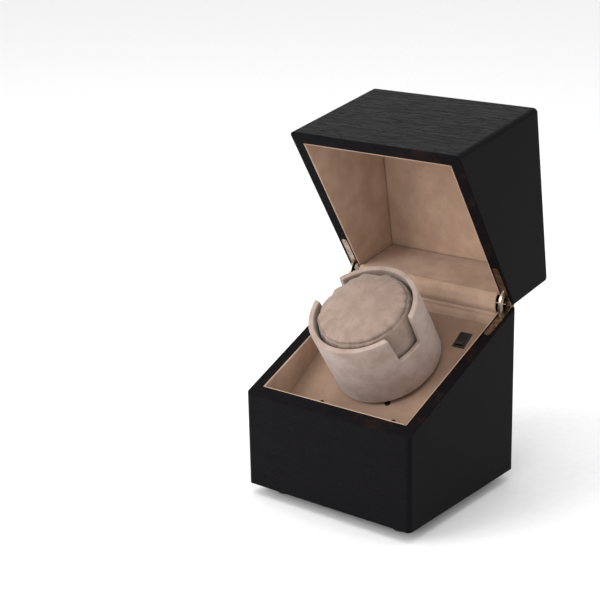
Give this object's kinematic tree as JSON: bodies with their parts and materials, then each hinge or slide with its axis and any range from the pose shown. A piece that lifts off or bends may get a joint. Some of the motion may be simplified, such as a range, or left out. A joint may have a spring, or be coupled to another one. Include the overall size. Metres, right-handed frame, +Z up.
{
  "type": "watch winder box",
  "caption": "Leather covered watch winder box: tilted motor-turned cup with a watch cushion, rocker switch, and a hinged slant-cut lid held open by brass quadrant stays.",
  "frame": {"origin": "on the table surface, under the middle of the case footprint (the bottom of the feet)", "axes": "+Z up, +Y towards the hinged back, +X to the right seen from the front"},
  "size_m": [0.14, 0.1748, 0.2692],
  "materials": {
    "leather": "dark brown-black grained leatherette, satin",
    "suede": "beige suede-cloth lining, matt nap",
    "cup_suede": "beige suede-cloth cover, matt nap",
    "cushion_suede": "beige suede-cloth cushion, matt nap",
    "felt": "black felt, matt",
    "board": "raw fibreboard",
    "hinge_brass": "polished brass plate",
    "brass_screw": "polished brass plate",
    "black_screw": "black oxide steel",
    "zinc_screw": "zinc plated steel",
    "foot_rubber": "matt black rubber",
    "cup_plastic": "black moulded ABS",
    "chassis_plastic": "black moulded ABS",
    "gear_nylon": "natural nylon",
    "shaft_steel": "ground steel",
    "bush_bronze": "sintered bronze",
    "gearbox_plastic": "black moulded ABS",
    "motor_can": "zinc plated steel can",
    "switch_black": "black moulded plastic",
    "rocker_black": "glossy black plastic",
    "inlet_black": "black moulded plastic",
    "inlet_metal": "nickel plated",
    "board_green": "green solder mask",
    "component_black": "black moulded packages",
    "lead_black": "black PVC sleeve"
  },
  "bodies": {
    "base": {"base_back_wall": "board", "base_floor": "board", "base_front_wall": "board", "base_hinge_leaves": "hinge_brass", "base_hinge_screws": "brass_screw", "base_leather": "leather", "base_left_wall": "board", "base_lining_back": "suede", "base_lining_front": "suede", "base_lining_left": "suede", "base_lining_right": "suede", "base_right_wall": "board", "board_components": "component_black", "chassis_screws": "black_screw", "control_board": "board_green", "drive_chassis": "chassis_plastic", "drive_screws": "black_screw", "faceplate": "board", "faceplate_cleat": "board", "faceplate_screws": "black_screw", "faceplate_suede": "suede", "foot_screws": "zinc_screw", "gearbox": "gearbox_plastic", "hinge_gusset": "suede", "hinge_pins": "hinge_brass", "hinge_stays": "hinge_brass", "inlet_nut": "inlet_metal", "motor": "motor_can", "motor_lead": "lead_black", "power_inlet": "inlet_black", "power_lead": "lead_black", "rotor_bushes": "bush_bronze", "rubber_feet": "foot_rubber", "switch_housing": "switch_black", "switch_lead": "lead_black", "underside_felt": "felt"},
    "lid": {"lid_back_wall": "board", "lid_front_wall": "board", "lid_left_wall": "board", "lid_right_wall": "board", "lid_top_board": "board", "lid_leather": "leather", "lid_lining_back": "suede", "lid_lining_front": "suede", "lid_lining_left": "suede", "lid_lining_right": "suede", "lid_lining_top": "suede", "lid_hinge_leaves": "hinge_brass", "lid_hinge_screws": "brass_screw"},
    "rotor": {"rotor_shaft": "shaft_steel", "drive_gear": "gear_nylon", "turntable_hub": "cup_plastic", "hub_screws": "black_screw", "cup_shell": "cup_plastic", "cup_cover": "cup_suede", "shaft_clip": "shaft_steel"},
    "pinion": {"motor_pinion": "gear_nylon", "output_shaft": "shaft_steel"},
    "cushion": {"watch_cushion": "cushion_suede"},
    "rocker": {"switch_rocker": "rocker_black"}
  },
  "joints": [
    {"name": "lid_hinge", "type": "hinge", "parent": "base", "child": "lid", "pos_m": [0, 0.0644, 0.1342], "axis": [1, 0, 0], "range_deg": [0, 81.3], "deforming": ["hinge_gusset"]},
    {"name": "rotor_spin", "type": "hinge", "parent": "base", "child": "rotor", "pos_m": [0, 0.01, 0.09219], "axis": [0, -0.5388, 0.8425], "continuous": true},
    {"name": "pinion_spin", "type": "hinge", "parent": "base", "child": "pinion", "pos_m": [0, -0.01022, 0.07927], "axis": [0, -0.5388, 0.8425], "continuous": true},
    {"name": "cushion_lift", "type": "slide", "parent": "rotor", "child": "cushion", "axis": [0, -0.5388, 0.8425], "range_m": [0, 0.012]},
    {"name": "rocker_tip", "type": "hinge", "parent": "base", "child": "rocker", "pos_m": [0.0437, 0.03734, 0.10921], "axis": [1, 0, 0], "range_deg": [0, 16]}
  ],
  "couplings": [
    {"joint": "pinion_spin", "follows": "rotor_spin", "ratio": -3}
  ]
}
